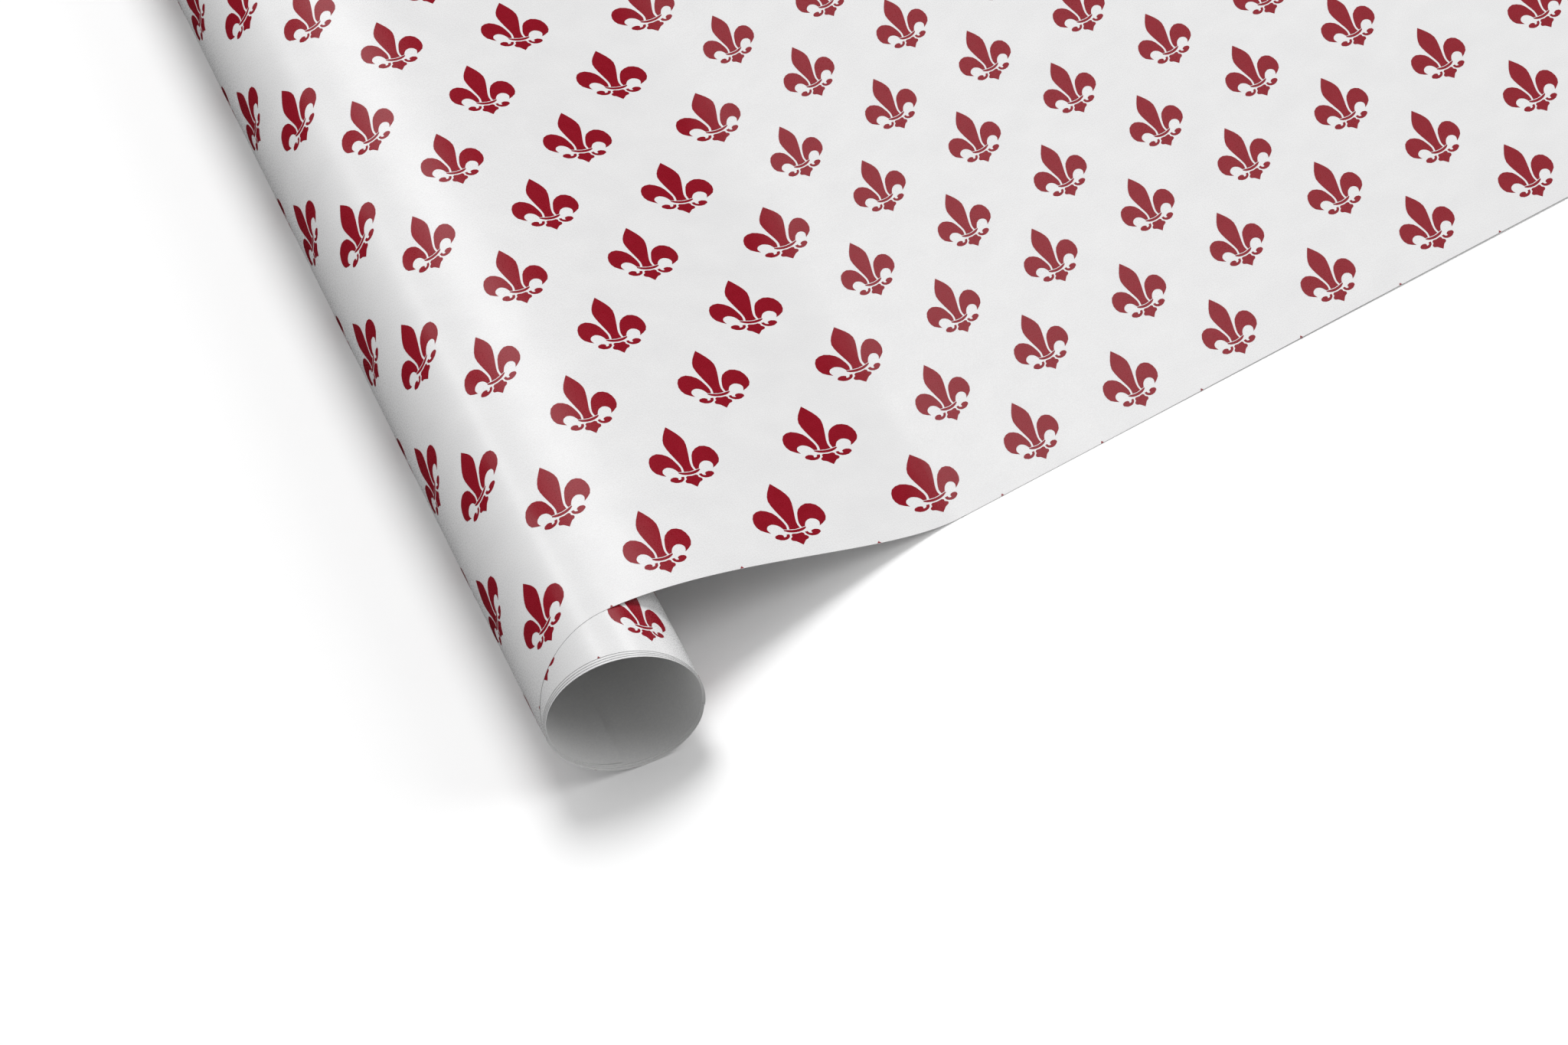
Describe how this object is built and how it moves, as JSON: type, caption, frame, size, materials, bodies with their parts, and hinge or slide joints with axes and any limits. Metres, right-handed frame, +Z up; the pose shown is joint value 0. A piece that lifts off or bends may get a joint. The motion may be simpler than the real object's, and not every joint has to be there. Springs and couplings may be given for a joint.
{
  "type": "wrapping paper roll",
  "caption": "Coreless roll of printed gift wrap, partly unrolled: wound turns, the span lifting off their top, and the sheet laid flat.",
  "frame": {"origin": "middle of the laid sheet's underside, on the floor", "axes": "+X along the laid sheet away from the roll, +Y along the roll away from its near end, +Z up"},
  "size_m": [0.969, 0.5374, 0.042],
  "materials": {
    "paper": "satin coated"
  },
  "bodies": {
    "laid": {"laid_sheet": "paper"},
    "span": {"lift_off_span": "paper", "outer_turn": "paper"},
    "core": {"second_turn": "paper"},
    "third": {"third_turn": "paper"},
    "fourth": {"fourth_turn": "paper"},
    "lead": {"lead_turn": "paper", "lead_edge": "paper"}
  },
  "joints": [
    {"name": "unroll_travel", "type": "slide", "parent": "laid", "child": "span", "axis": [-1, 0, 0], "range_m": [0, 0.1168]},
    {"name": "roll_spin", "type": "hinge", "parent": "span", "child": "core", "pos_m": [-0.524, 0, 0.021], "axis": [0, 1, 0], "range_deg": [0, 360]},
    {"name": "telescope_third", "type": "slide", "parent": "core", "child": "third", "axis": [0, -1, 0], "range_m": [-0.01, 0.02]},
    {"name": "telescope_fourth", "type": "slide", "parent": "third", "child": "fourth", "axis": [0, -1, 0], "range_m": [-0.01, 0.02]},
    {"name": "telescope_lead", "type": "slide", "parent": "fourth", "child": "lead", "axis": [0, -1, 0], "range_m": [-0.01, 0.02]}
  ],
  "couplings": [
    {"joint": "roll_spin", "follows": "unroll_travel", "rad_per_m": 47.904},
    {"joint": "telescope_fourth", "follows": "telescope_third", "ratio": 1},
    {"joint": "telescope_lead", "follows": "telescope_third", "ratio": 1}
  ]
}
